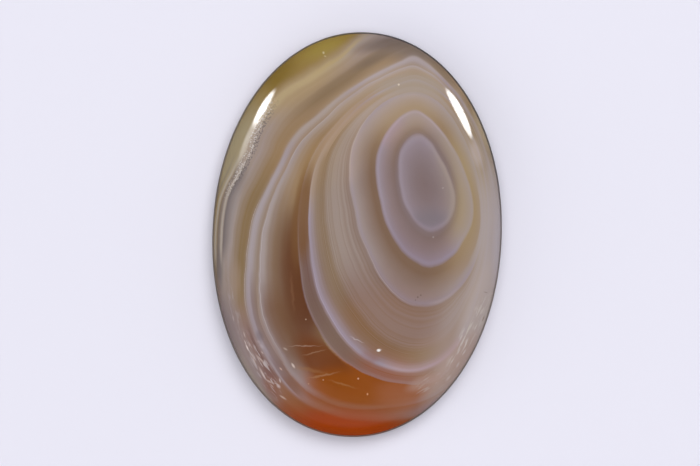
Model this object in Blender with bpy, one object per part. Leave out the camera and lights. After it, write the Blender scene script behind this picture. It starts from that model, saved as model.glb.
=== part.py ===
"""A polished oval agate cabochon, lying on its flat back with the dome up.

One solid stone. The origin is the middle of the flat back, +Y runs along the
stone's length and +Z points out of the dome. All sizes are in metres.
"""

import math

import bmesh
import bpy

# Driving dimensions of the stone.
LENGTH = 0.0350  # along +Y, over the widest line of the girdle
WIDTH = 0.0250  # along X, over the same line
THICKNESS = 0.0066  # from the flat back to the top of the dome

# The outline is an ellipse a touch fuller at its corners. A power of 2 is a plain ellipse.
OUTLINE_POWER = 2.05

# The ground edge: a small bevel that keeps the back from chipping, then a
# girdle that leans in, which is what a bezel setting grips.
BACK_BEVEL = 0.0005  # wide and high
GIRDLE_TOP = 0.0018  # height where the girdle ends and the dome starts
GIRDLE_LEAN = 0.00016  # how far the girdle leans in over its height

# The dome is the top of an ellipsoid, cut this share of the way out to its
# equator, so that it meets the girdle at a soft angle and not upright.
DOME_REACH = 0.985

# Mesh fineness.
SIDES = 120
DOME_RINGS = 22
SHARP_ANGLE = math.radians(35)

# The colour and polish of the stone in plain view.
STONE_COLOUR = (0.36, 0.29, 0.24, 1.0)
STONE_ROUGHNESS = 0.06
STONE_IOR = 1.54


def clear_scene():
    """Removes whatever the scene starts with."""
    for thing in list(bpy.data.objects):
        bpy.data.objects.remove(thing, do_unlink=True)


def outline_point(half_width, half_length, turn):
    """A point on the oval outline, turn radians round from +X."""
    across, along = math.cos(turn), math.sin(turn)
    x = half_width * math.copysign(abs(across) ** (2 / OUTLINE_POWER), across)
    y = half_length * math.copysign(abs(along) ** (2 / OUTLINE_POWER), along)
    return x, y


def edge_levels():
    """(inset from the widest outline, height) of the rings up the stone's edge."""
    return [(BACK_BEVEL, 0.0), (0.0, BACK_BEVEL), (GIRDLE_LEAN, GIRDLE_TOP)]


def dome_level(step):
    """(share of the girdle's size, height) of a dome ring. Step 0 is the girdle, DOME_RINGS the top."""
    slope = math.asin(DOME_REACH) * (1 - step / DOME_RINGS)
    rim = math.sqrt(1 - DOME_REACH**2)
    rise = (math.cos(slope) - rim) / (1 - rim)
    return math.sin(slope) / DOME_REACH, GIRDLE_TOP + rise * (THICKNESS - GIRDLE_TOP)


def add_ring(mesh, half_width, half_length, height):
    """One closed loop of vertices round the stone, at one height."""
    ring = []
    for side in range(SIDES):
        x, y = outline_point(half_width, half_length, 2 * math.pi * side / SIDES)
        ring.append(mesh.verts.new((x, y, height)))
    return ring


def join_rings(mesh, lower, upper):
    """A belt of four-sided faces between two rings."""
    for side in range(SIDES):
        after = (side + 1) % SIDES
        mesh.faces.new((lower[side], lower[after], upper[after], upper[side]))


def stone_rings(mesh):
    """All the rings of the stone, from the edge of the back to the last one below the top."""
    rings = []
    for inset, height in edge_levels():
        rings.append(add_ring(mesh, WIDTH / 2 - inset, LENGTH / 2 - inset, height))
    for step in range(1, DOME_RINGS):
        share, height = dome_level(step)
        half_width = share * (WIDTH / 2 - GIRDLE_LEAN)
        half_length = share * (LENGTH / 2 - GIRDLE_LEAN)
        rings.append(add_ring(mesh, half_width, half_length, height))
    return rings


def stone_mesh():
    """The whole stone as one closed surface."""
    mesh = bmesh.new()
    rings = stone_rings(mesh)
    mesh.faces.new(list(reversed(rings[0])))
    for lower, upper in zip(rings, rings[1:]):
        join_rings(mesh, lower, upper)
    top = mesh.verts.new((0.0, 0.0, THICKNESS))
    last = rings[-1]
    for side in range(SIDES):
        mesh.faces.new((last[side], last[(side + 1) % SIDES], top))
    bmesh.ops.recalc_face_normals(mesh, faces=mesh.faces)
    data = bpy.data.meshes.new("agate_cabochon")
    mesh.to_mesh(data)
    mesh.free()
    data.shade_smooth()
    data.set_sharp_from_angle(angle=SHARP_ANGLE)
    return data


def stone_material():
    """Polished grey-brown agate."""
    material = bpy.data.materials.new("banded_agate")
    material.use_nodes = True
    shader = material.node_tree.nodes["Principled BSDF"]
    shader.inputs["Base Color"].default_value = STONE_COLOUR
    shader.inputs["Metallic"].default_value = 0.0
    shader.inputs["Roughness"].default_value = STONE_ROUGHNESS
    shader.inputs["IOR"].default_value = STONE_IOR
    material.diffuse_color = STONE_COLOUR
    return material


def build():
    clear_scene()
    stone = bpy.data.objects.new("agate_cabochon", stone_mesh())
    stone.data.materials.append(stone_material())
    bpy.context.scene.collection.objects.link(stone)


build()
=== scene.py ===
"""The look of the agate cabochon: its bands, its polish, the floor, the lights and the camera."""

import math

import bpy
import numpy as np
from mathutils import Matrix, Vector


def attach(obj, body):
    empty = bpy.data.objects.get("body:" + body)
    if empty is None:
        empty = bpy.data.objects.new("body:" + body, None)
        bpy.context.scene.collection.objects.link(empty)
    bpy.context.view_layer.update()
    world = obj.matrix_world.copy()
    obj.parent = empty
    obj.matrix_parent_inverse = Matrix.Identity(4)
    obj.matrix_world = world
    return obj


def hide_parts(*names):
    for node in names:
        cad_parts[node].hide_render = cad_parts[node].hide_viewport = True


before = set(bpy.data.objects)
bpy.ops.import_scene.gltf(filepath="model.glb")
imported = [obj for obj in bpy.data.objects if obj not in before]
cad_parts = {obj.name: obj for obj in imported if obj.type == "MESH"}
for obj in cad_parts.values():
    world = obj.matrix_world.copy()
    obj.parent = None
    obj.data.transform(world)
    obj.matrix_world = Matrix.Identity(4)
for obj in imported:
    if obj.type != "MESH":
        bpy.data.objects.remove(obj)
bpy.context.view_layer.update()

MM = 0.001

# The stone's shape, the same values and formulas as in part.py, in metres.
LENGTH = 0.0350
WIDTH = 0.0250
THICKNESS = 0.0066
OUTLINE_POWER = 2.05
BACK_BEVEL = 0.0005
GIRDLE_TOP = 0.0018
GIRDLE_LEAN = 0.00016
DOME_REACH = 0.985

# Fineness of the shown mesh.
SIDES = 480
DOME_RINGS = 112
BACK_RINGS = 44
BEVEL_RINGS = 3
GIRDLE_RINGS = 8
SHARP_ANGLE = math.radians(35)

# The photograph's framing, in pixels of its 700 by 466 frame.
FRAME_WIDTH = 700
FRAME_HEIGHT = 466
STONE_PIXEL = (357.1, 234.6)
STONE_WIDTH_PIXELS = 289.2
STONE_LEAN = math.radians(2.78)
CAMERA_HEIGHT = 0.60  # in metres, over the back
SENSOR_WIDTH = 36.0  # in millimetres
CLIP_START = 0.01
CLIP_END = 20.0

# The middle of the eye, where all the bands are nested, in millimetres on the stone.
EYE = (5.6, 4.6)

# The bands' outer lines round the eye, from the inside out, as (x, y) in millimetres.
BANDS = [
    ("core", [
        (3.25, 6.3), (3.45, 7.6), (4.05, 8.5), (4.9, 8.85), (5.75, 8.4), (6.6, 7.3), (7.4, 6.0),
        (8.0, 4.6), (8.25, 3.2), (8.0, 1.9), (7.3, 1.0), (6.4, 0.6), (5.4, 0.95), (4.6, 1.75),
        (3.9, 2.9), (3.4, 4.5),
    ]),
    ("oval", [
        (1.35, 6.3), (1.5, 7.4), (1.9, 8.5), (2.6, 9.6), (3.5, 10.5), (4.6, 10.9), (5.5, 10.45),
        (6.5, 9.6), (7.5, 8.4), (8.3, 7.2), (8.9, 6.0), (9.45, 4.7), (9.8, 3.3), (9.85, 2.0),
        (9.6, 0.9), (9.1, -0.1), (8.5, -1.1), (7.7, -1.85), (6.9, -2.3), (6.15, -2.45), (5.2, -2.1),
        (4.4, -1.6), (3.6, -0.75), (3.0, 0.1), (2.4, 1.25), (1.9, 2.8), (1.5, 4.4),
    ]),
    ("cup", [
        (-0.95, 6.3), (-0.8, 7.6), (-0.35, 8.9), (0.4, 10.1), (1.4, 11.2), (2.8, 12.1), (4.6, 12.5),
        (6.2, 11.9), (7.5, 10.7), (8.6, 9.1), (9.4, 7.5), (10.0, 6.0), (10.5, 4.2), (10.8, 2.0),
        (10.75, 0.0), (10.4, -1.5), (9.8, -3.0), (8.8, -4.4), (7.6, -5.4), (6.2, -5.85), (5.0, -5.75),
        (3.8, -5.2), (2.7, -4.2), (1.7, -2.8), (0.8, -1.1), (0.25, 0.0), (-0.3, 2.0), (-0.85, 4.4),
    ]),
    ("striae", [
        (-3.1, 4.0), (-3.0, 5.5), (-2.6, 7.0), (-1.9, 8.4), (-0.9, 9.7), (0.4, 11.0), (2.2, 12.3),
        (4.5, 13.0), (6.3, 12.4), (7.7, 11.1), (8.8, 9.5), (9.6, 7.9), (10.3, 6.2), (10.8, 4.2),
        (11.05, 2.0), (11.0, 0.0), (10.75, -2.0), (10.2, -4.2), (9.5, -6.0), (8.8, -7.6), (7.8, -8.9),
        (6.5, -9.65), (5.0, -9.9), (3.5, -9.5), (2.0, -8.6), (1.0, -7.7), (0.0, -6.5), (-1.2, -4.7),
        (-2.2, -2.2), (-2.85, 0.5),
    ]),
    ("bright", [
        (-4.22, 2.0), (-4.17, 3.8), (-3.92, 5.4), (-3.33, 6.97), (-2.35, 8.6), (-1.2, 10.1),
        (0.0, 11.35), (1.5, 12.4), (3.0, 13.15), (4.4, 13.55), (5.8, 13.1), (7.0, 12.3), (8.1, 11.1),
        (9.1, 9.7), (9.9, 8.2), (10.5, 6.5), (11.0, 4.4), (11.25, 2.0), (11.3, 0.0), (11.1, -2.2),
        (10.7, -4.4), (10.2, -6.2), (9.8, -7.7), (9.1, -9.0), (8.1, -10.2), (6.8, -11.05), (5.2, -11.5),
        (4.0, -11.45), (2.6, -11.1), (1.15, -10.5), (-0.1, -9.5), (-1.12, -8.33), (-2.15, -6.85),
        (-3.0, -5.25), (-3.5, -3.7), (-3.92, -1.55), (-4.15, 0.25),
    ]),
    ("shadow", [
        (-5.2, 1.0), (-5.1, 2.8), (-4.8, 4.6), (-4.3, 6.3), (-3.5, 7.8), (-2.5, 9.1), (-1.3, 10.5),
        (0.0, 11.7), (1.5, 12.8), (3.0, 13.55), (4.4, 13.95), (5.8, 13.45), (7.1, 12.6), (8.3, 11.3),
        (9.3, 9.9), (10.1, 8.3), (10.7, 6.6), (11.2, 4.4), (11.5, 2.0), (11.55, 0.0), (11.35, -2.2),
        (11.0, -4.4), (10.6, -6.4), (10.1, -8.3), (9.4, -10.0), (8.4, -11.5), (7.2, -12.4),
        (5.8, -12.7), (4.4, -12.65), (3.0, -12.5), (2.0, -12.2), (1.0, -11.85), (0.2, -11.4),
        (-0.6, -10.95), (-1.4, -10.3), (-2.2, -9.5), (-2.9, -8.5), (-3.5, -7.5), (-4.1, -6.3),
        (-4.5, -5.0), (-4.8, -3.3), (-5.1, -1.4),
    ]),
    ("thread", [
        (-8.4, -3.0), (-8.35, -1.3), (-8.2, 0.1), (-7.95, 1.3), (-7.6, 2.5), (-7.05, 4.0), (-6.5, 5.2),
        (-6.05, 6.3), (-5.6, 7.2), (-5.2, 7.8), (-4.4, 8.7), (-3.6, 9.5), (-2.9, 10.2), (-2.2, 11.0),
        (-1.4, 11.7), (-0.6, 12.35), (0.2, 12.95), (1.15, 13.47), (2.15, 14.05), (3.15, 14.53),
        (4.25, 14.8), (5.1, 14.47), (6.0, 13.98), (6.9, 13.2), (7.8, 12.3), (8.7, 11.1), (9.6, 9.6),
        (10.3, 8.0), (10.9, 6.3), (11.4, 4.2), (11.7, 2.0), (11.8, 0.0), (11.65, -2.4), (11.35, -4.8),
        (11.0, -7.0), (10.4, -9.2), (9.5, -11.2), (8.2, -12.9), (6.3, -14.1), (4.0, -14.7),
        (2.0, -15.0), (0.4, -15.05), (-1.0, -14.85), (-2.4, -14.4), (-3.4, -13.9), (-4.3, -13.2),
        (-5.0, -12.5), (-5.6, -11.7), (-6.1, -10.9), (-6.7, -10.0), (-7.3, -9.0), (-7.8, -8.0),
        (-8.1, -7.0), (-8.2, -6.0), (-8.35, -4.8),
    ]),
    ("ledge", [
        (-9.45, -2.9), (-9.42, -1.9), (-9.3, -0.7), (-9.15, 0.6), (-8.75, 1.95), (-8.3, 3.0),
        (-7.8, 4.15), (-7.32, 5.2), (-6.88, 6.25), (-6.45, 7.35), (-5.9, 8.25), (-5.3, 9.0),
        (-4.4, 9.75), (-3.6, 10.5), (-2.7, 11.35), (-1.6, 12.25), (-0.5, 13.05), (0.6, 13.8),
        (1.8, 14.5), (3.0, 15.15), (4.2, 15.7), (5.1, 15.3), (6.1, 14.5), (7.2, 13.5), (8.2, 12.5),
        (9.1, 11.2), (10.0, 9.7), (10.7, 8.0), (11.3, 6.2), (11.75, 4.2), (12.0, 2.0), (12.1, 0.0),
        (12.0, -2.4), (11.7, -5.0), (11.3, -7.4), (10.7, -9.8), (9.7, -12.0), (8.4, -13.8),
        (6.6, -15.2), (4.2, -15.9), (2.0, -16.1), (0.0, -16.0), (-2.0, -15.5), (-3.6, -14.9),
        (-4.8, -14.1), (-5.7, -13.2), (-6.5, -12.2), (-7.3, -11.1), (-8.05, -9.9), (-8.65, -8.6),
        (-9.2, -7.0), (-9.45, -5.5), (-9.5, -4.3),
    ]),
    ("silver", [
        (-11.65, 0.0), (-11.55, 1.5), (-11.3, 2.8), (-10.85, 3.9), (-10.3, 4.9), (-9.8, 6.0),
        (-9.4, 7.0), (-9.1, 8.1), (-8.6, 9.3), (-7.9, 10.6), (-7.1, 11.7), (-6.2, 12.4), (-5.2, 13.0),
        (-4.1, 13.75), (-3.0, 14.5), (-2.0, 15.3), (-1.1, 16.25), (-0.2, 17.1), (0.9, 17.9),
        (2.6, 18.6), (4.6, 18.8), (6.6, 17.3), (8.6, 15.6), (10.3, 13.4), (11.6, 11.0), (12.5, 8.4),
        (13.1, 5.6), (13.4, 2.8), (13.5, 0.0), (13.3, -3.0), (12.9, -6.0), (12.2, -9.0), (11.1, -12.0),
        (9.6, -14.6), (7.4, -16.7), (4.6, -17.9), (1.6, -18.3), (-1.4, -18.0), (-4.0, -17.0),
        (-6.0, -15.6), (-7.6, -13.9), (-9.0, -11.9), (-10.1, -9.8), (-10.9, -7.6), (-11.4, -5.2),
        (-11.6, -2.6),
    ]),
    ("rind", [
        (-14.2, 0.0), (-13.9, 3.6), (-13.0, 7.2), (-11.6, 10.8), (-9.6, 14.0), (-7.0, 16.6),
        (-4.0, 18.6), (-1.0, 19.8), (3.0, 20.4), (7.0, 19.4), (10.4, 16.8), (13.0, 13.0), (14.6, 8.4),
        (15.4, 3.6), (15.4, -1.6), (14.6, -7.0), (13.0, -12.0), (10.4, -16.2), (6.6, -19.2),
        (2.0, -20.4), (-3.0, -19.8), (-7.2, -17.4), (-10.4, -13.8), (-12.8, -9.4), (-14.0, -4.6),
    ]),
]

# How the bands lean as they go down into the stone, in millimetres sideways per millimetre of depth.
BAND_SLANT = (0.35, 0.30)
# The narrowest a band gets, in millimetres.
LEAST_BAND = 0.02
# The bands sway from side to side by this share of a band, with this many sways a millimetre.
BAND_SWAY = 0.07
SWAYS_PER_MM = 0.55

# Milkiness across the bands, as (band number, share). A whole number is a band's outer line.
MILK = [
    (0.0, 0.0), (0.35, 0.12), (0.60, 0.32), (0.80, 0.56), (0.90, 0.80), (0.95, 0.84), (1.0, 0.50),
    (1.05, 0.10), (1.20, 0.06), (1.40, 0.32), (1.65, 0.60), (1.82, 0.80), (1.90, 1.0), (1.95, 0.95),
    (2.0, 0.60), (2.05, 0.08), (2.20, 0.06), (2.50, 0.40), (2.75, 0.76), (2.93, 1.0), (3.0, 0.85),
    (3.05, 0.40), (3.12, 0.53), (3.30, 0.64), (3.60, 0.76), (3.85, 0.55), (4.0, 0.16), (4.2, 0.14),
    (4.5, 0.36), (4.75, 0.70), (4.92, 1.0), (5.0, 1.0), (5.06, 0.70), (5.15, 0.35), (5.4, 0.22),
    (5.7, 0.30), (5.86, 0.55), (5.93, 0.40), (5.98, 0.05), (6.0, 0.0), (6.12, 0.06), (6.28, 0.18),
    (6.5, 0.42), (6.70, 0.68), (6.85, 0.88), (6.91, 1.0), (6.96, 0.9), (7.0, 0.38), (7.08, 0.42),
    (7.22, 0.54), (7.42, 0.82), (7.62, 0.98), (7.80, 0.90), (7.90, 0.58), (8.0, 0.22), (8.07, 0.02),
    (8.25, 0.04), (8.5, 0.40), (8.7, 0.66), (8.82, 0.70), (8.92, 1.0), (9.0, 0.95), (9.1, 0.50),
    (9.3, 0.0), (10.0, 0.0),
]
# How far the milk turns from beige to lavender.
LAVENDER_SHARE = [
    (0.0, 1.0), (2.0, 1.0), (2.1, 0.3), (2.8, 0.4), (2.95, 0.7), (3.02, 0.4), (3.2, 0.25), (4.4, 0.25),
    (4.9, 1.0), (5.2, 0.9), (5.9, 0.7), (6.5, 0.1), (6.9, 0.5), (7.5, 0.8), (8.0, 0.6), (8.2, 0.2),
    (8.5, 0.4), (8.7, 0.45), (8.85, 0.25), (8.95, 0.0), (10.0, 0.0),
]
ALL_BANDS = 10.0
# A colour ramp holds no more than 32 stops, so the milkiness is split at these bands.
MILK_PARTS = [(0.0, 3.0), (3.0, 6.0), (6.0, 10.0)]

# Soft oval stains, as (name, colour, middle x and y, half width and height in millimetres, turn in
# degrees, share of the oval that is fully stained). The first list is for the clear stone.
CLEAR_TONE = (150, 124, 94)
CLEAR_STAINS = [
    ("umber middle", (124, 97, 76), 2.0, -1.0, 8.0, 12.0, -6, 0.5),
    ("honey below", (134, 100, 68), 3.0, -7.2, 7.5, 3.8, 0, 0.35),
    ("honey top", (165, 142, 114), 3.5, 12.2, 8.5, 4.2, 15, 0.3),
    ("honey right", (164, 143, 108), 9.8, 3.6, 3.6, 8.5, 8, 0.3),
    ("honey bright", (136, 112, 86), -2.6, 1.0, 2.2, 11.0, 8, 0.4),
    ("brown shadow", (104, 66, 44), -4.9, -4.6, 3.2, 8.5, 10, 0.3),
    ("shadow top", (152, 122, 84), -5.5, 5.5, 3.2, 6.0, -30, 0.3),
    ("lower right", (160, 138, 124), 9.8, -9.0, 4.6, 4.6, 0, 0.3),
    ("left", (136, 111, 76), -9.2, -0.5, 3.6, 9.0, -6, 0.3),
    ("lower left", (144, 116, 108), -8.5, -11.0, 4.0, 6.5, 32, 0.3),
    ("amber foot", (142, 74, 20), 0.6, -13.7, 9.0, 5.0, 0, 0.4),
    ("deep foot", (152, 56, 0), -0.8, -17.4, 9.8, 3.2, 0, 0.3),
    ("eye", (128, 110, 108), 5.6, 4.4, 3.4, 6.0, 10, 0.6),
    ("top rim", (130, 113, 100), 4.0, 16.8, 6.0, 2.6, -12, 0.3),
    ("right rim", (150, 130, 98), 11.5, 9.5, 3.0, 7.0, 20, 0.3),
]
BEIGE_TONE = (165, 150, 138)
BEIGE_STAINS = [
    ("below", (147, 120, 104), 1.8, -8.0, 10.0, 7.0, 0, 0.35),
    ("lower right", (172, 157, 148), 10.4, -6.0, 3.6, 7.5, -12, 0.3),
    ("top", (178, 160, 146), 2.0, 12.5, 9.0, 4.0, 20, 0.3),
    ("corner", (182, 161, 122), -6.0, 13.0, 7.0, 3.6, 38, 0.3),
    ("foot", (148, 88, 50), 0.0, -15.0, 9.0, 4.0, 0, 0.3),
]
LAVENDER_TONE = (157, 144, 154)
LAVENDER_STAINS = [
    ("below", (147, 132, 144), 4.0, -4.0, 8.0, 8.0, 0, 0.3),
    ("foot line", (176, 151, 154), 6.8, -10.4, 5.4, 2.4, 22, 0.5),
    ("foot turn", (150, 121, 122), 1.4, -10.5, 1.5, 1.0, 20, 0.3),
    ("right of the eye", (164, 149, 140), 9.4, 5.0, 3.6, 9.5, 14, 0.5),
    ("top of the eye", (167, 151, 148), 5.0, 10.6, 3.6, 2.6, 0, 0.2),
    ("lower left", (158, 143, 154), -2.2, -8.5, 4.0, 7.0, 30, 0.3),
    ("upper left", (168, 147, 130), -3.2, 6.0, 2.6, 6.0, -24, 0.3),
    ("upper left of the oval", (168, 148, 155), 2.4, 9.0, 1.8, 2.0, -35, 0.3),
    ("left of the cup", (172, 153, 154), -0.7, 6.6, 1.5, 3.8, -14, 0.3),
    ("left", (170, 160, 166), -9.0, 1.0, 5.0, 9.5, -14, 0.3),
    ("upper left lines", (168, 154, 148), -4.5, 10.5, 6.0, 2.4, 44, 0.4),
    ("top lines", (173, 161, 164), 3.4, 14.4, 6.0, 3.0, 18, 0.4),
    ("corner", (165, 139, 110), -4.6, 12.9, 7.0, 1.7, 38, 0.3),
    ("foot", (153, 103, 80), 0.5, -15.2, 9.0, 3.2, 0, 0.3),
]
OLIVE_TONE = (147, 121, 62)
OLIVE_STAINS = [
    ("dark corner", (135, 110, 50), -7.4, 13.5, 2.0, 2.6, -44, 0.1),
    ("golden", (156, 134, 66), -3.6, 16.0, 3.4, 1.5, 24, 0.1),
    # Partly painted reflection: the olive rim's own tone, lightened and stretched up into the pale halo
    # beside the left highlight.
    ("left edge", (164, 150, 118), -10.6, 7.0, 2.2, 6.8, -22, 0.2),
]
# The olive starts and is full at these band numbers, and at these places along X.
OLIVE_BANDS = (9.02, 9.32)
OLIVE_SIDE = (2.5, -0.5)

# Veils inside the stone, over bands and clear stone alike, as (name, colour, amount, oval as above, first
# band, last band). Some of them are painted light: a glow under the right highlight, and brightening along
# the right rim against its shade.
VEILS = [
    ("shadow", (114, 80, 46), 0.55, -6.0, -3.8, 2.6, 9.5, 4, 0.3, 6.0, 6.72),
    ("low shadow", (114, 78, 52), 0.65, -6.2, -8.6, 2.8, 5.8, 28, 0.3, 6.02, 6.84),
    ("deep shadow", (96, 54, 30), 0.65, -4.8, -4.8, 2.0, 7.5, 9, 0.2, 5.95, 6.72),
    ("line shadow", (120, 84, 52), 0.8, -4.7, 1.2, 1.4, 5.6, -3, 0.4, 5.06, 6.1),
    ("mauve", (118, 95, 84), 0.7, -2.4, -8.0, 3.0, 8.0, 30, 0.3, 5.18, 5.80),
    ("foot shadow", (112, 58, 20), 0.85, -2.2, -11.2, 4.2, 2.2, -42, 0.45, 6.03, 6.75),
    ("amber", (147, 76, 6), 0.8, -0.4, -13.4, 5.0, 2.5, -4, 0.4, 6.0, 6.78),
    ("amber right", (158, 94, 56), 0.7, 4.6, -13.4, 3.4, 2.0, 8, 0.3, 6.0, 7.4),
    ("left foot", (152, 82, 38), 0.7, -5.0, -15.6, 2.4, 1.4, -38, 0.2, 7.8, 11.0),
    ("deep foot", (166, 64, 0), 0.95, -0.7, -17.8, 10.5, 3.3, 0, 0.35, 6.0, 11.0),
    ("top streak", (112, 96, 86), 0.75, 1.9, 16.6, 4.2, 0.95, 14, 0.2, 8.1, 8.9),
    ("corner streak", (128, 106, 80), 0.65, -2.2, 12.9, 6.8, 0.95, 38, 0.2, 8.02, 8.5),
    ("top shadow", (122, 104, 88), 0.65, 0.8, 15.2, 3.0, 0.7, 30, 0.2, 8.03, 8.8),
    ("salmon", (171, 145, 121), 0.7, -1.4, 9.2, 5.0, 1.5, 48, 0.3, 4.3, 6.0),
    ("lower left edge", (136, 120, 122), 0.8, -11.2, -8.5, 1.6, 8.0, 18, 0.2, 8.3, 11.0),
    # Partly painted light: the stone's own pale haze on the right, brightened against the shade of the
    # steep rim.
    ("right haze", (176, 164, 162), 0.9, 12.4, -0.8, 2.9, 11.7, 4, 0.35, 2.7, 11.0),
    ("top haze", (166, 151, 137), 0.75, 4.2, 13.1, 6.0, 1.5, 0, 0.3, 2.9, 6.3),
    # Partly painted light: the lower right haze and the edge haze are the stone's pale haze, painted
    # lighter against the shade of the steep rim.
    ("lower right haze", (181, 167, 161), 0.85, 10.9, -5.3, 1.9, 6.0, -16, 0.35, 2.7, 11.0),
    ("edge haze", (178, 155, 145), 0.8, 8.9, -11.0, 1.7, 5.2, -36, 0.35, 4.6, 11.0),
    ("core's foot", (122, 113, 118), 0.6, 6.3, 1.0, 3.3, 2.2, 0, 0.3, -0.2, 0.86),
    ("honey beside the eye", (157, 132, 103), 0.5, 9.0, 1.4, 2.8, 7.8, 10, 0.3, 2.07, 2.62),
    # Painted highlight: a pale glow that carries the right highlight on below its end.
    ("painted glow under the highlight", (190, 174, 168), 0.6, 9.9, 7.5, 0.7, 1.8, 18, 0.2, 2.3, 11.0),
    ("lower left gap", (122, 88, 76), 0.55, -5.9, -12.3, 1.6, 2.6, 40, 0.3, 7.05, 7.65),
    ("low rim", (116, 74, 66), 0.5, -6.9, -12.1, 1.1, 1.8, 40, 0.2, 7.95, 8.6),
    # Painted light: the right edge brightens the steep right rim against its shade.
    ("right edge", (184, 174, 178), 0.7, 12.3, -0.5, 0.8, 7.0, 0, 0.2, 2.0, 11.0),
    ("foot haze", (176, 144, 130), 0.6, 6.4, -12.4, 2.2, 0.8, 25, 0.3, 5.0, 6.9),
    ("gap beside the thread", (124, 98, 84), 0.5, -8.0, -8.2, 2.4, 6.0, 22, 0.3, 7.12, 7.45),
    ("left rim glow", (168, 156, 152), 0.5, -10.9, 0.5, 1.2, 5.5, -5, 0.3, 8.6, 8.86),
    # Painted light: the lower right rim and upper right rim brighten the steep rim against its shade.
    ("lower right rim", (187, 173, 165), 0.7, 11.65, -6.2, 0.7, 4.4, -15, 0.2, 2.0, 11.0),
    ("upper right rim", (182, 164, 138), 0.65, 10.4, 9.5, 0.6, 3.0, 25, 0.2, 2.0, 11.0),
    ("upper right shadow", (116, 98, 82), 0.45, 6.9, 14.2, 2.2, 0.8, -46, 0.2, 7.95, 9.5),
    ("left foot gap", (132, 90, 66), 0.7, -4.9, -13.3, 1.8, 0.8, -42, 0.2, 7.0, 7.65),
    ("lower left foot", (142, 92, 70), 0.65, -6.7, -13.5, 1.7, 0.8, -48, 0.2, 7.95, 9.4),
    ("left rim shadow", (108, 102, 108), 0.6, -11.75, -3.4, 0.5, 2.6, 6, 0.2, 8.85, 11.0),
    ("left honey", (162, 140, 122), 0.5, -10.3, -4.4, 0.8, 2.4, 3, 0.2, 8.15, 8.7),
]
# How softly a veil starts and ends, in bands.
VEIL_EASES = (0.05, 0.15)

# Fine growth lines, as (first band, last band, lines per band, strength).
GROWTH_LINES = [
    (3.05, 3.75, 13.0, 0.32),
    (3.75, 4.10, 22.0, 0.50),
    (4.20, 6.0, 9.0, 0.12),
    (6.3, 9.0, 8.0, 0.12),
]
GROWTH_LINE_EASES = (0.1, 0.1)

# Single crisp lines, as (name, colour, amount, oval as above, band number, half the thickness in bands).
LINES = [
    ("cup line", (176, 162, 160), 0.5, 2.4, -2.8, 3.4, 5.2, 42, 0.2, 2.985, 0.02),
    ("upper cup line", (188, 170, 156), 0.6, -0.5, 7.6, 1.6, 4.4, -16, 0.4, 2.97, 0.03),
    ("dark under the cup", (118, 84, 60), 0.4, 3.2, -4.6, 3.6, 2.4, -20, 0.4, 3.04, 0.02),
    ("bright line", (180, 169, 184), 0.6, -2.4, -6.6, 2.2, 5.4, 30, 0.4, 5.0, 0.03),
    ("thread line", (192, 182, 180), 0.6, -7.4, -3.6, 2.6, 8.5, 9, 0.4, 6.94, 0.016),
    ("upper thread line", (190, 176, 168), 0.6, -4.4, 8.8, 1.6, 5.6, -40, 0.5, 6.94, 0.03),
    ("ledge line", (194, 184, 180), 0.6, -9.2, -2.0, 1.6, 7.0, 2, 0.5, 7.965, 0.025),
    ("corner line", (180, 157, 108), 0.6, -2.2, 15.4, 3.6, 1.0, 41, 0.3, 9.02, 0.09),
    ("dark beside the ledge", (108, 78, 72), 0.55, -8.2, -10.2, 0.9, 2.9, 32, 0.3, 8.12, 0.12),
    ("oval's top", (180, 160, 160), 0.5, 4.9, 9.6, 4.4, 2.4, -10, 0.3, 1.93, 0.09),
    ("right cup line", (172, 154, 152), 0.5, 7.8, -4.9, 2.0, 1.3, 30, 0.3, 2.95, 0.07),
    ("strip's edge", (142, 120, 116), 0.6, -3.6, -5.0, 2.4, 7.5, 20, 0.4, 5.85, 0.035),
]

# The outermost line on the left runs as dark and light threads, as (band number, share).
THREADS_PLACE = (-11.4, 1.5, 2.0, 6.0, -12, 0.5)
DARK_THREAD_TONE = (112, 103, 102)
DARK_THREADS = [
    (8.60, 0.0), (8.84, 0.55), (8.93, 0.85), (8.97, 0.1), (9.03, 0.0), (9.08, 0.6), (9.13, 0.45),
    (9.17, 0.0), (9.28, 0.0), (9.33, 0.5), (9.38, 0.0),
]
LIGHT_THREAD_TONE = (188, 178, 166)
LIGHT_THREADS = [
    (8.95, 0.0), (9.0, 0.7), (9.05, 0.1), (9.14, 0.0), (9.20, 0.8), (9.28, 0.1),
]
THREAD_START = 8.5
THREAD_END = 9.5

# Silvery grains along the same line, higher up: dark ones inside it and pale ones outside it. The pale
# ones are partly painted reflection, the grainy tail of the left highlight.
GRAIN_PLACE = (-9.6, 7.0, 1.5, 5.6, -24, 0.5)
GRAINS_PER_MM = 8.0
# For each kind: colour, amount, bands, how softly it starts and ends, and the noise where a grain starts
# and is full.
DARK_GRAIN_TONE = (108, 98, 96)
DARK_GRAIN_AMOUNT = 0.75
DARK_GRAIN_BANDS = (8.88, 8.97)
DARK_GRAIN_EASES = (0.07, 0.04)
DARK_GRAIN_NOISE = (0.55, 0.40)
# Pale grains: partly the stone's own, partly painted reflection of the left highlight's tail.
PALE_GRAIN_TONE = (208, 200, 194)
PALE_GRAIN_AMOUNT = 0.8
PALE_GRAIN_BANDS = (8.97, 9.07)
PALE_GRAIN_EASES = (0.04, 0.10)
PALE_GRAIN_NOISE = (0.50, 0.65)
GRAIN_RELIEF = 0.000008  # in metres
GRAIN_ROUGHNESS = 0.18

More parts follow.
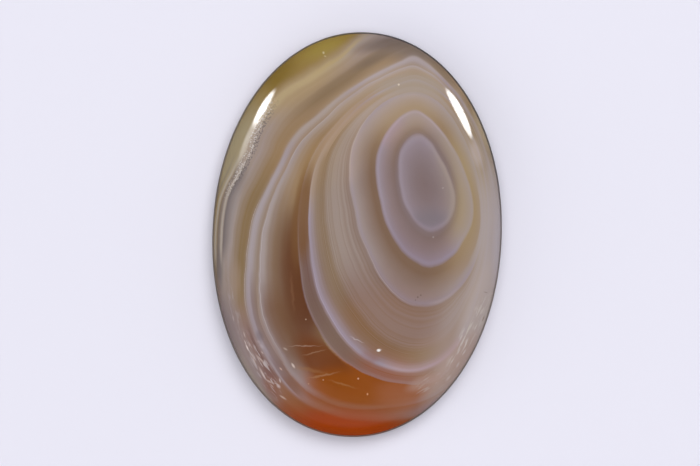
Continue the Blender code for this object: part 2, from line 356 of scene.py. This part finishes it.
# Patches of fine pale strokes near the stone's edge, painted reflections that stand in for sparkles of
# light on the polish, as (colour, amount, oval as above). The strokes run along the oval's height.
STROKES = [
    ((200, 188, 186), 0.75, -7.7, -11.6, 0.9, 4.0, 31, 0.3),
    ((200, 190, 182), 0.80, 9.9, -8.2, 0.8, 4.8, -25, 0.4),
    ((184, 168, 160), 0.55, 7.0, -12.4, 1.2, 2.2, -56, 0.3),
    ((178, 168, 168), 0.35, -10.3, -6.8, 0.6, 3.6, 14, 0.3),
]
STROKES_PER_MM = 5.0
STROKE_STRETCH = 7.0  # length over width
STROKE_NOISE = (0.50, 0.66)  # where a stroke starts and is full

# Small marks in and on the stone, and painted glints and reflections of light on the polish, as (name,
# colour, amount, oval as above).
MARKS = [
    # Painted highlight: a white glint with its glow, a sparkle of light on the polish.
    ("glint", (255, 252, 250), 1.0, 2.32, -9.82, 0.21, 0.16, 10, 0.3),
    ("glint's glow", (225, 212, 208), 0.5, 2.35, -9.80, 0.34, 0.16, 14, 0.1),
    ("fleck in the corner", (206, 194, 156), 0.8, -3.65, 15.50, 0.13, 0.17, 20, 0.1),
    ("fleck under it", (196, 182, 140), 0.7, -3.50, 15.20, 0.16, 0.09, -20, 0.1),
    ("fleck at the top", (226, 212, 190), 0.8, 2.94, 13.04, 0.13, 0.13, 0, 0.2),
    ("fleck in the eye", (176, 164, 164), 0.5, 7.15, 4.35, 0.14, 0.10, 20, 0.2),
    ("fleck under the eye", (172, 162, 162), 0.5, 6.52, 0.10, 0.12, 0.12, 0, 0.2),
    ("fleck in the shadow", (205, 175, 150), 0.8, -4.04, -7.47, 0.09, 0.09, 0, 0.2),
    ("fleck in the amber", (228, 190, 160), 0.8, 0.69, -12.34, 0.11, 0.11, 0, 0.2),
    ("second amber fleck", (206, 168, 130), 0.6, -2.30, -12.60, 0.10, 0.10, 0, 0.2),
    ("third amber fleck", (206, 168, 130), 0.5, -3.55, -13.00, 0.09, 0.09, 0, 0.2),
    ("fleck by the foot", (220, 165, 120), 0.8, 1.55, -13.64, 0.11, 0.14, 0, 0.2),
    # Painted reflection: the tick is a pale sparkle of light on the polish.
    ("tick", (216, 198, 188), 0.85, -4.94, -11.50, 0.13, 0.36, 36, 0.2),
    ("crack end", (182, 162, 148), 0.7, -5.68, -10.10, 0.12, 0.30, 62, 0.2),
    ("notch", (114, 100, 104), 0.45, -7.95, -9.1, 0.45, 0.75, 24, 0.2),
    ("pit", (96, 78, 70), 0.7, 5.45, -5.10, 0.10, 0.12, 0, 0.2),
    ("second pit", (94, 78, 70), 0.7, 5.70, -4.92, 0.09, 0.09, 0, 0.2),
    ("third pit", (100, 82, 74), 0.6, 5.26, -5.36, 0.09, 0.08, 0, 0.2),
    # Painted reflections: from the upper fleck to the lowest streak, pale streaks, patches and curls stand
    # in for sparkles of light on the lower left of the polish.
    ("upper fleck", (196, 178, 170), 0.5, -10.30, -7.70, 0.08, 0.40, 12, 0.1),
    ("upper streak", (206, 186, 178), 0.6, -9.27, -9.07, 0.08, 0.40, 21, 0.1),
    ("bright streak", (240, 226, 218), 0.85, -8.98, -10.16, 0.09, 0.42, 27, 0.1),
    ("bright streak's end", (220, 202, 194), 0.7, -9.16, -9.74, 0.07, 0.34, 25, 0.1),
    ("bright streak's twin", (210, 190, 182), 0.6, -8.81, -9.89, 0.07, 0.34, 18, 0.1),
    ("long streak", (200, 180, 170), 0.65, -8.39, -11.10, 0.09, 0.80, 24, 0.1),
    ("slanting streak", (206, 184, 174), 0.65, -7.82, -11.08, 0.12, 0.66, 47, 0.1),
    ("broad streak", (210, 190, 180), 0.7, -7.61, -12.24, 0.13, 0.80, 31, 0.1),
    ("soft patch", (186, 172, 174), 0.5, -7.72, -9.98, 0.20, 0.44, 40, 0.1),
    ("soft patch 2", (178, 162, 160), 0.5, -8.00, -9.60, 0.16, 0.24, 48, 0.1),
    ("short streak", (200, 182, 174), 0.6, -7.66, -10.52, 0.08, 0.20, 44, 0.2),
    ("curl", (204, 184, 176), 0.65, -6.95, -12.99, 0.12, 0.52, 63, 0.1),
    ("curl's tip", (216, 202, 198), 0.7, -6.02, -12.86, 0.10, 0.30, 20, 0.1),
    ("curl's end", (208, 192, 190), 0.65, -6.13, -13.34, 0.19, 0.32, 50, 0.1),
    ("curl's middle", (196, 178, 172), 0.6, -6.33, -13.16, 0.07, 0.44, 70, 0.1),
    ("curl's foot", (198, 176, 166), 0.6, -6.70, -13.35, 0.08, 0.36, 45, 0.1),
    ("tan streak", (214, 180, 160), 0.7, -5.99, -11.84, 0.09, 0.24, 45, 0.2),
    ("lowest streak", (210, 186, 170), 0.7, -5.70, -14.31, 0.12, 0.50, 60, 0.1),
    # Painted reflections: pale glints and streaks of light on the lower right of the polish.
    ("right glint", (214, 204, 198), 0.6, 9.82, -8.83, 0.09, 0.56, -14, 0.1),
    ("right glint 2", (206, 196, 190), 0.55, 9.70, -9.66, 0.10, 0.46, -30, 0.1),
    ("right streak", (196, 182, 178), 0.6, 9.20, -10.79, 0.13, 0.42, -27, 0.1),
    ("right streak 2", (196, 178, 172), 0.6, 8.46, -11.94, 0.16, 0.50, -38, 0.1),
    ("right line", (196, 186, 172), 0.5, 9.97, -7.60, 0.08, 0.90, -18, 0.2),
    ("right rim line", (196, 186, 172), 0.35, 11.12, -7.10, 0.08, 0.50, -20, 0.2),
    ("right dark line", (120, 104, 88), 0.6, 11.22, -6.70, 0.07, 0.40, -18, 0.2),
    ("right tick", (132, 120, 114), 0.6, 11.30, -4.43, 0.06, 0.26, 76, 0.2),
]
# Healed cracks, with a ragged run.
CRACKS = [
    ("crack", (180, 152, 134), 0.5, -4.1, -9.75, 2.0, 0.08, 3, 0.1),
    ("second crack", (170, 136, 108), 0.4, -3.2, -10.3, 1.4, 0.09, 16, 0.2),
    ("amber wisp", (172, 132, 96), 0.5, -2.3, -12.2, 1.9, 0.13, 14, 0.1),
    ("amber wisp 2", (154, 108, 68), 0.45, -3.4, -11.8, 1.9, 0.26, -8, 0.1),
    ("amber wisp 3", (166, 116, 70), 0.5, -0.6, -12.9, 1.6, 0.14, -14, 0.1),
    ("faint line", (196, 184, 184), 0.6, 0.4, -9.0, 0.9, 0.09, -22, 0.1),
    ("shadow wisp", (140, 98, 70), 0.35, -5.3, -5.2, 0.18, 2.4, 8, 0.1),
]
CRACK_TURNS_PER_MM = 1.6
CRACK_PUSH = (0.35, 0.35, 0.0)  # in millimetres along X, Y and Z

# The girdle's own colour, with painted shade that darkens it towards the upper right, how much of it
# covers the bands, and the finish of the stone's parts.
RIM_TONE = (136, 122, 108)
# Painted shade: the girdle is darkened towards the upper right, where its edge looks dark.
RIM_PAINTED_SHADE_TONE = (62, 55, 60)
RIM_PAINTED_SHADE_PLACE = (7.0, 13.0, 16.0, 14.0, 0, 0.4)
RIM_SHARE = 0.65
GIRDLE_ROUGHNESS = 0.30
BACK_ROUGHNESS = 0.45
POLISH_ROUGHNESS = 0.04
STONE_IOR = 1.54
GLOW_SHARE = 0.2  # how much of the light comes back from under the surface
GLOW_REACH = 0.0004  # in metres
GLOW_COLOUR_REACH = (1.0, 0.75, 0.6)

# A margin in millimetres for telling the stone's parts apart by height.
HAIR = 0.01

# The floor's half width and its gap under the flat back, so that the two never share a plane, in metres.
FLOOR_REACH = 2.0
FLOOR_GAP = 0.00002
FLOOR_COLOUR = (0.80, 0.79, 0.88, 1.0)
FLOOR_ROUGHNESS = 0.9

# Brightness of the studio's walls, as (sine of the height angle, strength).
STUDIO_WALLS = [(-1.0, 0.06), (-0.05, 0.06), (0.15, 0.32), (0.5, 0.26), (0.85, 0.10), (1.0, 0.07)]
WALL_COLOUR = (0.86, 0.85, 0.95, 1.0)

# Round soft lamps that don't show in the polish, as (name, azimuth and elevation in degrees, distance and
# diameter in metres, power in watts).
LAMPS = [
    ("overhead", 75, 78, 1.1, 1.5, 10.0),
    ("key", 60, 55, 0.9, 0.5, 1.7),
    ("fill_foot", 260, 30, 0.9, 0.7, 1.2),
    ("fill_left", 190, 28, 0.9, 0.7, 1.4),
    ("fill_right", 0, 28, 0.9, 0.7, 0.6),
]
# Small oval panels that only show as soft-edged highlights on the polish, as (name, azimuth and elevation,
# width and height in metres, power in watts, share of the panel that has its full strength).
PANELS = [
    ("panel_right", 35, 7.6, 0.144, 0.128, 0.80, 0.70),
    ("panel_left", 147, 7, 0.116, 0.120, 1.05, 0.30),
    ("panel_tail", 158, 7, 0.150, 0.124, 0.22, 0.05),
]
PANEL_DISTANCE = 0.4

# The colour that patches are laid on before they go over the stone's own.
BLACK = (0.0, 0.0, 0.0, 1.0)
# Ovals reach this far up and down in millimetres, so only X and Y count.
OVAL_DEPTH = 1000.0


def linear(tone):
    """A colour given as 0 to 255 on a screen, as light."""
    share = np.asarray(tone, float) / 255
    light = np.where(share <= 0.04045, share / 12.92, ((share + 0.055) / 1.055) ** 2.4)
    return (*light.tolist(), 1.0)


def grey(value):
    """A plain number as a colour. Node outputs pass through."""
    return (value, value, value, 1.0) if isinstance(value, float) else value


# The stone's mesh.

def outline_point(half_width, half_length, turn):
    """A point on the oval outline, turn radians round from +X."""
    across, along = math.cos(turn), math.sin(turn)
    x = half_width * math.copysign(abs(across) ** (2 / OUTLINE_POWER), across)
    y = half_length * math.copysign(abs(along) ** (2 / OUTLINE_POWER), along)
    return x, y


def dome_level(step):
    """(share of the girdle's size, height) of a dome ring. Step 0 is the girdle, DOME_RINGS the top."""
    slope = math.asin(DOME_REACH) * (1 - step / DOME_RINGS)
    rim = math.sqrt(1 - DOME_REACH**2)
    rise = (math.cos(slope) - rim) / (1 - rim)
    return math.sin(slope) / DOME_REACH, GIRDLE_TOP + rise * (THICKNESS - GIRDLE_TOP)


def ring_sizes():
    """(half width, half length, height) of every ring, from the middle of the back round to the top."""
    sizes = []
    back_width, back_length = WIDTH / 2 - BACK_BEVEL, LENGTH / 2 - BACK_BEVEL
    for step in range(1, BACK_RINGS + 1):
        share = step / BACK_RINGS
        sizes.append((back_width * share, back_length * share, 0.0))
    for step in range(1, BEVEL_RINGS + 1):
        inset = BACK_BEVEL * (1 - step / BEVEL_RINGS)
        sizes.append((WIDTH / 2 - inset, LENGTH / 2 - inset, BACK_BEVEL - inset))
    for step in range(1, GIRDLE_RINGS + 1):
        share = step / GIRDLE_RINGS
        inset = GIRDLE_LEAN * share
        height = BACK_BEVEL + (GIRDLE_TOP - BACK_BEVEL) * share
        sizes.append((WIDTH / 2 - inset, LENGTH / 2 - inset, height))
    for step in range(1, DOME_RINGS):
        share, height = dome_level(step)
        sizes.append((share * (WIDTH / 2 - GIRDLE_LEAN), share * (LENGTH / 2 - GIRDLE_LEAN), height))
    return sizes


def stone_mesh():
    """The stone as one closed surface of rings, with a point in the middle of the back and at the top."""
    points = [(0.0, 0.0, 0.0)]
    rings = ring_sizes()
    for half_width, half_length, height in rings:
        for side in range(SIDES):
            x, y = outline_point(half_width, half_length, 2 * math.pi * side / SIDES)
            points.append((x, y, height))
    points.append((0.0, 0.0, THICKNESS))
    faces = []
    top, last = len(points) - 1, 1 + (len(rings) - 1) * SIDES
    for side in range(SIDES):
        after = (side + 1) % SIDES
        faces.append((0, 1 + after, 1 + side))
        faces.append((last + side, last + after, top))
        for ring in range(len(rings) - 1):
            low, high = 1 + ring * SIDES, 1 + (ring + 1) * SIDES
            faces.append((low + side, low + after, high + after, high + side))
    data = bpy.data.meshes.new("cabochon_stone")
    data.from_pydata(points, [], faces)
    data.update()
    data.shade_smooth()
    data.set_sharp_from_angle(angle=SHARP_ANGLE)
    return data


# The bands.

def smooth_curve(places, values, at):
    """A smooth curve through (place, value) points that closes on itself after one turn."""
    places = np.concatenate([places[-2:] - 2 * np.pi, places, places[:3] + 2 * np.pi])
    values = np.concatenate([values[-2:], values, values[:3]])
    step = np.diff(places)
    slope = np.diff(values) / step
    tangent = np.zeros(len(places))
    tangent[1:-1] = (slope[:-1] * step[1:] + slope[1:] * step[:-1]) / (step[:-1] + step[1:])
    left = np.clip(np.searchsorted(places, at, side="right") - 1, 1, len(places) - 3)
    width = places[left + 1] - places[left]
    s = (at - places[left]) / width
    start = (1 + 2 * s) * (1 - s) ** 2 * values[left]
    leave = s * (1 - s) ** 2 * width * tangent[left]
    end = s * s * (3 - 2 * s) * values[left + 1]
    arrive = s * s * (s - 1) * width * tangent[left + 1]
    return start + leave + end + arrive


def band_numbers(x, y):
    """How many bands out from the eye each place is: 0 in its middle, 1 on the core's line, and so on."""
    turn = np.arctan2(y - EYE[1], x - EYE[0])
    reach = np.hypot(x - EYE[0], y - EYE[1])
    inner = np.zeros_like(turn)
    number = np.zeros_like(turn)
    for name, points in BANDS:
        place = np.array(points, float) - np.array(EYE)
        turns = np.arctan2(place[:, 1], place[:, 0])
        order = np.argsort(turns)
        outer = smooth_curve(turns[order], np.hypot(place[order, 0], place[order, 1]), turn)
        number += np.clip((reach - inner) / np.maximum(outer - inner, LEAST_BAND), 0, 1)
        inner = outer
    return number


def surface_height(x, y):
    """Height of the dome over (x, y), in metres."""
    across = np.abs(x / (WIDTH / 2 - GIRDLE_LEAN)) ** OUTLINE_POWER
    along = np.abs(y / (LENGTH / 2 - GIRDLE_LEAN)) ** OUTLINE_POWER
    share = np.minimum((across + along) ** (1 / OUTLINE_POWER), 1)
    rim = math.sqrt(1 - DOME_REACH**2)
    rise = (np.sqrt(1 - (share * DOME_REACH) ** 2) - rim) / (1 - rim)
    return GIRDLE_TOP + rise * (THICKNESS - GIRDLE_TOP)


def add_bands(data):
    """Writes each vertex's band number. Under the dome the bands slant, so they run on round the edge."""
    co = np.zeros(len(data.vertices) * 3)
    data.vertices.foreach_get("co", co)
    x, y, z = co.reshape(-1, 3).T
    depth = (surface_height(x, y) - z) / MM
    band = band_numbers(x / MM + BAND_SLANT[0] * depth, y / MM + BAND_SLANT[1] * depth)
    attribute = data.attributes.new("band", "FLOAT", "POINT")
    attribute.data.foreach_set("value", band.astype(np.float32))


# Materials.

class Nodes:
    """Adds nodes to a material's tree, each input given as a value or as another node's output."""

    def __init__(self, tree):
        self.tree = tree

    def add(self, kind, settings=None, **inputs):
        made = self.tree.nodes.new(kind)
        for name, value in (settings or {}).items():
            setattr(made, name, value)
        for name, value in inputs.items():
            self.feed(made, name, value)
        return made

    def feed(self, made, name, value):
        """Sets one input. i0, i1 and so on name it by its place, anything else by its name."""
        key = int(name[1:]) if name[0] == "i" and name[1:].isdigit() else name.replace("_", " ")
        socket = made.inputs[key]
        if isinstance(value, bpy.types.NodeSocket):
            self.tree.links.new(value, socket)
        else:
            socket.default_value = value

    def maths(self, operation, first, second=0.0, clamp=False):
        settings = {"operation": operation, "use_clamp": clamp}
        return self.add("ShaderNodeMath", settings, i0=first, i1=second).outputs[0]

    def mix(self, share, first, second, how="MIX"):
        settings = {"data_type": "RGBA", "blend_type": how}
        return self.add("ShaderNodeMix", settings, i0=share, i6=first, i7=second).outputs[2]

    def ramp(self, value, start, end, stops):
        """A number that follows (place, number) stops between two ends."""
        share = self.add("ShaderNodeMapRange", {"clamp": False}, Value=value, From_Min=start, From_Max=end)
        made = self.add("ShaderNodeValToRGB", None, Fac=share.outputs[0])
        line = made.color_ramp
        for index, (place, number) in enumerate(stops):
            position = (place - start) / (end - start)
            if index < 2:
                stop = line.elements[index]
                stop.position = position
            else:
                stop = line.elements.new(position)
            stop.color = (number, number, number, 1.0)
        return made.outputs[0]

    def ease(self, value, start, end):
        """0 up to start, 1 from end on, and a soft step between them. The start may be the higher number.
        It stays between 0 and 1 of itself, and a clamp would cost the shader room."""
        made = self.add(
            "ShaderNodeMapRange", {"interpolation_type": "SMOOTHSTEP", "clamp": False}, Value=value,
            From_Min=start, From_Max=end)
        return made.outputs[0]

    def soft_oval(self, place, middle_x, middle_y, half_width, half_height, turn, full):
        """1 inside an oval of the stone's surface, easing to 0 at its rim."""
        local = self.add(
            "ShaderNodeMapping", {"vector_type": "TEXTURE"}, Vector=place,
            Location=(middle_x, middle_y, 0.0), Rotation=(0.0, 0.0, math.radians(turn)),
            Scale=(half_width, half_height, OVAL_DEPTH))
        inward = self.add("ShaderNodeTexGradient", {"gradient_type": "SPHERICAL"}, Vector=local.outputs[0])
        return self.ease(inward.outputs[1], 0.0, 1.0 - full)

    def stained(self, place, tone, stains):
        """A colour that soft oval stains change from place to place."""
        colour = linear(tone)
        for name, stain, *shape in stains:
            colour = self.mix(self.soft_oval(place, *shape), colour, linear(stain))
        return colour

    def overlay(self, colour, patches):
        """A colour with (share, tone) patches laid over it, each over the last. The patches are put
        together first, because Cycles has room for few values that wait for the colour below."""
        laid, bare = BLACK, 1.0
        for share, tone in patches:
            laid = self.mix(share, laid, linear(tone))
            bare = self.maths("MULTIPLY", bare, self.maths("SUBTRACT", 1.0, share))
        return self.mix(1.0, self.mix(bare, BLACK, colour), laid, "ADD")

    def ovals(self, place, marks):
        """The patches of a list of marks, made one at a time."""
        for name, tone, amount, *shape in marks:
            yield self.maths("MULTIPLY", self.soft_oval(place, *shape), amount), tone

    def between(self, value, first, last, ease_in, ease_out):
        """1 between two numbers, easing to 0 outside them."""
        rise = self.ease(value, first - ease_in, first)
        return self.maths("MULTIPLY", rise, self.ease(value, last + ease_out, last))

    def noise(self, place, scale, detail=2.0, dimensions="3D"):
        """Soft noise from 0 to 1, about 0.5."""
        settings = {"noise_dimensions": dimensions}
        made = self.add("ShaderNodeTexNoise", settings, Scale=scale, Detail=detail)
        self.feed(made, "W" if dimensions == "1D" else "Vector", place)
        return made.outputs[0]


def growth_lines(n, band):
    """Fine lines across the bands, as a number about 0."""
    total = 0.0
    for first, last, lines, strength in GROWTH_LINES:
        wave = n.maths("SUBTRACT", n.noise(band, lines, 1.0, "1D"), 0.5)
        inside = n.between(band, first, last, *GROWTH_LINE_EASES)
        part = n.maths("MULTIPLY", n.maths("MULTIPLY", wave, inside), 2 * strength)
        total = n.maths("ADD", total, part)
    return total


def veils(n, place, band):
    """The patches of the veils, made one at a time."""
    for name, tone, amount, *shape, first, last in VEILS:
        inside = n.between(band, first, last, *VEIL_EASES)
        share = n.maths("MULTIPLY", n.soft_oval(place, *shape), inside)
        yield n.maths("MULTIPLY", share, amount), tone


def crisp_lines(n, place, band):
    """The patches of the single lines, made one at a time."""
    for name, tone, amount, *shape, number, half in LINES:
        inside = n.between(band, number, number, half, half)
        share = n.maths("MULTIPLY", n.soft_oval(place, *shape), inside)
        yield n.maths("MULTIPLY", share, amount), tone


def agate_colour(n, place, band):
    """The banded colour of the stone."""
    milkiness = 0.0
    for start, end in MILK_PARTS:
        part = n.ramp(band, start, end, [stop for stop in MILK if start <= stop[0] <= end])
        milkiness = n.mix(n.maths("GREATER_THAN", band, start), grey(milkiness), part)
    milkiness = n.maths("ADD", milkiness, growth_lines(n, band), clamp=True)
    clear = n.stained(place, CLEAR_TONE, CLEAR_STAINS)
    beige = n.stained(place, BEIGE_TONE, BEIGE_STAINS)
    lavender = n.stained(place, LAVENDER_TONE, LAVENDER_STAINS)
    milk = n.mix(n.ramp(band, 0.0, ALL_BANDS, LAVENDER_SHARE), beige, lavender)
    colour = n.mix(milkiness, clear, milk)
    olive = n.stained(place, OLIVE_TONE, OLIVE_STAINS)
    x = n.add("ShaderNodeSeparateXYZ", None, Vector=place).outputs[0]
    past_line = n.ease(band, *OLIVE_BANDS)
    on_left = n.ease(x, *OLIVE_SIDE)
    colour = n.mix(n.maths("MULTIPLY", past_line, on_left), colour, olive)
    colour = n.overlay(colour, veils(n, place, band))
    return n.overlay(colour, crisp_lines(n, place, band))


def left_threads(n, place, band, colour):
    """The dark and light threads along the outermost line, on the left."""
    zone = n.soft_oval(place, *THREADS_PLACE)
    dark = n.ramp(band, THREAD_START, THREAD_END, DARK_THREADS)
    light = n.ramp(band, THREAD_START, THREAD_END, LIGHT_THREADS)
    colour = n.mix(n.maths("MULTIPLY", dark, zone), colour, linear(DARK_THREAD_TONE))
    return n.mix(n.maths("MULTIPLY", light, zone), colour, linear(LIGHT_THREAD_TONE))


def silver_grains(n, place, band, colour):
    """Dark and pale grains along the outermost line, the pale ones partly painted reflection. Gives the
    colour and how pitted the surface is.
    """
    zone = n.soft_oval(place, *GRAIN_PLACE)
    grain = n.noise(place, GRAINS_PER_MM, 1.0)
    dark = n.ease(grain, *DARK_GRAIN_NOISE)
    pale = n.ease(grain, *PALE_GRAIN_NOISE)
    dark_zone = n.maths("MULTIPLY", zone, n.between(band, *DARK_GRAIN_BANDS, *DARK_GRAIN_EASES))
    pale_zone = n.maths("MULTIPLY", zone, n.between(band, *PALE_GRAIN_BANDS, *PALE_GRAIN_EASES))
    dark_share = n.maths("MULTIPLY", dark, n.maths("MULTIPLY", dark_zone, DARK_GRAIN_AMOUNT))
    colour = n.mix(dark_share, colour, linear(DARK_GRAIN_TONE))
    pale_share = n.maths("MULTIPLY", pale, n.maths("MULTIPLY", pale_zone, PALE_GRAIN_AMOUNT))
    colour = n.mix(pale_share, colour, linear(PALE_GRAIN_TONE))
    return colour, n.maths("MULTIPLY", grain, n.maths("MAXIMUM", dark_zone, pale_zone))


def painted_reflection_strokes(n, place):
    """Patches of fine pale strokes, painted reflections on the polish, made one at a time."""
    for tone, amount, x, y, half_width, half_height, turn, full in STROKES:
        along = n.add(
            "ShaderNodeMapping", {"vector_type": "TEXTURE"}, Vector=place,
            Rotation=(0.0, 0.0, math.radians(turn)), Scale=(1.0, STROKE_STRETCH, 1.0)).outputs[0]
        stroke = n.ease(n.noise(along, STROKES_PER_MM), *STROKE_NOISE)
        share = n.maths("MULTIPLY", stroke, n.soft_oval(place, x, y, half_width, half_height, turn, full))
        yield n.maths("MULTIPLY", share, amount), tone


def small_marks(n, place, colour):
    """Fine strokes, flecks and streaks, and healed cracks on a place that noise pushes about. The strokes,
    the glints and many of the streaks are painted reflections and highlights on the polish.
    """
    ragged = n.add("ShaderNodeTexNoise", None, Vector=place, Scale=CRACK_TURNS_PER_MM, Detail=2.0)
    push = n.add(
        "ShaderNodeVectorMath", {"operation": "SUBTRACT"}, i0=ragged.outputs["Color"], i1=(0.5, 0.5, 0.5))
    pushed = n.add(
        "ShaderNodeVectorMath", {"operation": "MULTIPLY_ADD"}, i0=push.outputs[0], i1=CRACK_PUSH, i2=place)
    colour = n.overlay(colour, n.ovals(pushed.outputs[0], CRACKS))
    colour = n.overlay(colour, painted_reflection_strokes(n, place))
    return n.overlay(colour, n.ovals(place, MARKS))


def agate_material():
    """Polished banded agate, with a satin girdle and a sawn back."""
    material = bpy.data.materials.new("banded_agate_polished")
    material.use_nodes = True
    tree = material.node_tree
    shader = tree.nodes["Principled BSDF"]
    n = Nodes(tree)
    where = n.add("ShaderNodeTexCoord")
    in_mm = n.add("ShaderNodeVectorMath", {"operation": "SCALE"}, i0=where.outputs["Object"], Scale=1 / MM)
    place = in_mm.outputs[0]
    band = n.add("ShaderNodeAttribute", {"attribute_name": "band"}).outputs["Fac"]
    sway = n.maths("SUBTRACT", n.noise(place, SWAYS_PER_MM), 0.5)
    band = n.maths("ADD", band, n.maths("MULTIPLY", sway, BAND_SWAY))
    colour = agate_colour(n, place, band)
    colour = left_threads(n, place, band, colour)
    colour, pitted = silver_grains(n, place, band, colour)
    colour = small_marks(n, place, colour)
    height = n.add("ShaderNodeSeparateXYZ", None, Vector=place).outputs[2]
    below_dome = n.maths("LESS_THAN", height, GIRDLE_TOP / MM - HAIR)
    on_back = n.maths("LESS_THAN", height, HAIR)
    # The girdle's own tone, with painted shade that darkens it towards the upper right.
    rim = n.mix(n.soft_oval(place, *RIM_PAINTED_SHADE_PLACE), linear(RIM_TONE), linear(RIM_PAINTED_SHADE_TONE))
    on_girdle = n.maths("SUBTRACT", below_dome, on_back)
    colour = n.mix(n.maths("MULTIPLY", on_girdle, RIM_SHARE), colour, rim)
    tree.links.new(colour, shader.inputs["Base Color"])
    satin = n.maths("MULTIPLY", below_dome, GIRDLE_ROUGHNESS - POLISH_ROUGHNESS)
    sawn = n.maths("MULTIPLY", on_back, BACK_ROUGHNESS - GIRDLE_ROUGHNESS)
    roughness = n.maths("ADD", n.maths("ADD", satin, sawn), POLISH_ROUGHNESS)
    roughness = n.maths("ADD", roughness, n.maths("MULTIPLY", pitted, GRAIN_ROUGHNESS))
    tree.links.new(roughness, shader.inputs["Roughness"])
    relief = n.add("ShaderNodeBump", None, Strength=1.0, Distance=GRAIN_RELIEF, Height=pitted)
    tree.links.new(relief.outputs[0], shader.inputs["Normal"])
    shader.inputs["IOR"].default_value = STONE_IOR
    shader.inputs["Subsurface Weight"].default_value = GLOW_SHARE
    shader.inputs["Subsurface Radius"].default_value = GLOW_COLOUR_REACH
    shader.inputs["Subsurface Scale"].default_value = GLOW_REACH
    return material


def floor_material():
    """Matt pale card."""
    material = bpy.data.materials.new("pale_floor")
    material.use_nodes = True
    shader = material.node_tree.nodes["Principled BSDF"]
    shader.inputs["Base Color"].default_value = FLOOR_COLOUR
    shader.inputs["Roughness"].default_value = FLOOR_ROUGHNESS
    shader.inputs["Specular IOR Level"].default_value = 0.0
    return material


# The stage.

def add_object(name, data, where=(0, 0, 0), turn=(0, 0, 0)):
    made = bpy.data.objects.new(name, data)
    made.location = where
    made.rotation_euler = turn
    bpy.context.scene.collection.objects.link(made)
    return made


def add_camera():
    """Looks straight down on the dome, with the stone where the photograph has it."""
    metres_per_pixel = WIDTH / STONE_WIDTH_PIXELS
    right = (FRAME_WIDTH / 2 - STONE_PIXEL[0]) * metres_per_pixel
    up = (STONE_PIXEL[1] - FRAME_HEIGHT / 2) * metres_per_pixel
    across, along = math.cos(STONE_LEAN), math.sin(STONE_LEAN)
    x = right * across - up * along
    y = right * along + up * across
    lens = bpy.data.cameras.new("camera")
    lens.sensor_width = SENSOR_WIDTH
    # The widest outline lies as high as the bevel.
    lens.lens = SENSOR_WIDTH * (CAMERA_HEIGHT - BACK_BEVEL) / (FRAME_WIDTH * metres_per_pixel)
    lens.clip_start = CLIP_START
    lens.clip_end = CLIP_END
    camera = add_object("camera", lens, (x, y, CAMERA_HEIGHT), (0, 0, STONE_LEAN))
    bpy.context.scene.camera = camera


def aim(made, target=(0.0, 0.0, 0.0)):
    """Turns a light so that it shines at target."""
    way = Vector(target) - made.location
    made.rotation_euler = way.to_track_quat("-Z", "Y").to_euler()


def from_direction(azimuth, elevation, distance):
    """A place in a direction from the stone, in degrees and metres."""
    turn = math.radians(azimuth)
    rise = math.radians(elevation)
    level = distance * math.cos(rise)
    return level * math.cos(turn), level * math.sin(turn), distance * math.sin(rise)


def soften(lamp, full):
    """Makes a panel's brightness ease to nothing at its rim, from full strength over this share of it."""
    lamp.use_nodes = True
    n = Nodes(lamp.node_tree)
    place = n.add("ShaderNodeNewGeometry").outputs["Parametric"]
    eased = n.soft_oval(place, 0.5, 0.5, 0.5, 0.5, 0, full)
    lamp.node_tree.links.new(eased, lamp.node_tree.nodes["Emission"].inputs["Strength"])


def add_light(name, where, width, height, power):
    """A lamp aimed at the stone, which the camera doesn't see."""
    lamp = bpy.data.lights.new(name, "AREA")
    lamp.shape = "DISK" if width == height else "ELLIPSE"
    lamp.size = width
    lamp.size_y = height
    lamp.energy = power
    made = add_object(name, lamp, where)
    aim(made)
    made.visible_camera = False
    return made


def add_lamps():
    """The studio's light, which the polish doesn't mirror."""
    for name, azimuth, elevation, distance, diameter, power in LAMPS:
        made = add_light(name, from_direction(azimuth, elevation, distance), diameter, diameter, power)
        made.visible_glossy = False


def add_panels():
    """The highlights on the polish."""
    for name, azimuth, elevation, width, height, power, full in PANELS:
        made = add_light(name, from_direction(azimuth, elevation, PANEL_DISTANCE), width, height, power)
        made.visible_diffuse = False
        soften(made.data, full)


def add_world():
    """The studio's walls. They are dim overhead, where the camera is, and below the floor."""
    world = bpy.data.worlds.new("studio")
    world.use_nodes = True
    n = Nodes(world.node_tree)
    way = n.add("ShaderNodeTexCoord").outputs["Generated"]
    upward = n.add("ShaderNodeSeparateXYZ", None, Vector=way).outputs[2]
    background = world.node_tree.nodes["Background"]
    background.inputs["Color"].default_value = WALL_COLOUR
    world.node_tree.links.new(n.ramp(upward, -1.0, 1.0, STUDIO_WALLS), background.inputs["Strength"])
    bpy.context.scene.world = world


add_camera()
scene = bpy.context.scene
scene.view_settings.view_transform = "Standard"
scene.view_settings.look = "None"

data = stone_mesh()
add_bands(data)
stone = add_object("cabochon_stone", data)
stone.data.materials.append(agate_material())
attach(stone, "root")
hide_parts("agate_cabochon")

floor_data = bpy.data.meshes.new("floor")
corners = [(-1, -1), (1, -1), (1, 1), (-1, 1)]
floor_data.from_pydata([(x * FLOOR_REACH, y * FLOOR_REACH, 0.0) for x, y in corners], [], [(0, 1, 2, 3)])
floor_data.materials.append(floor_material())
floor = add_object("floor", floor_data, (0, 0, -FLOOR_GAP))
floor.visible_glossy = False

add_world()
add_lamps()
add_panels()
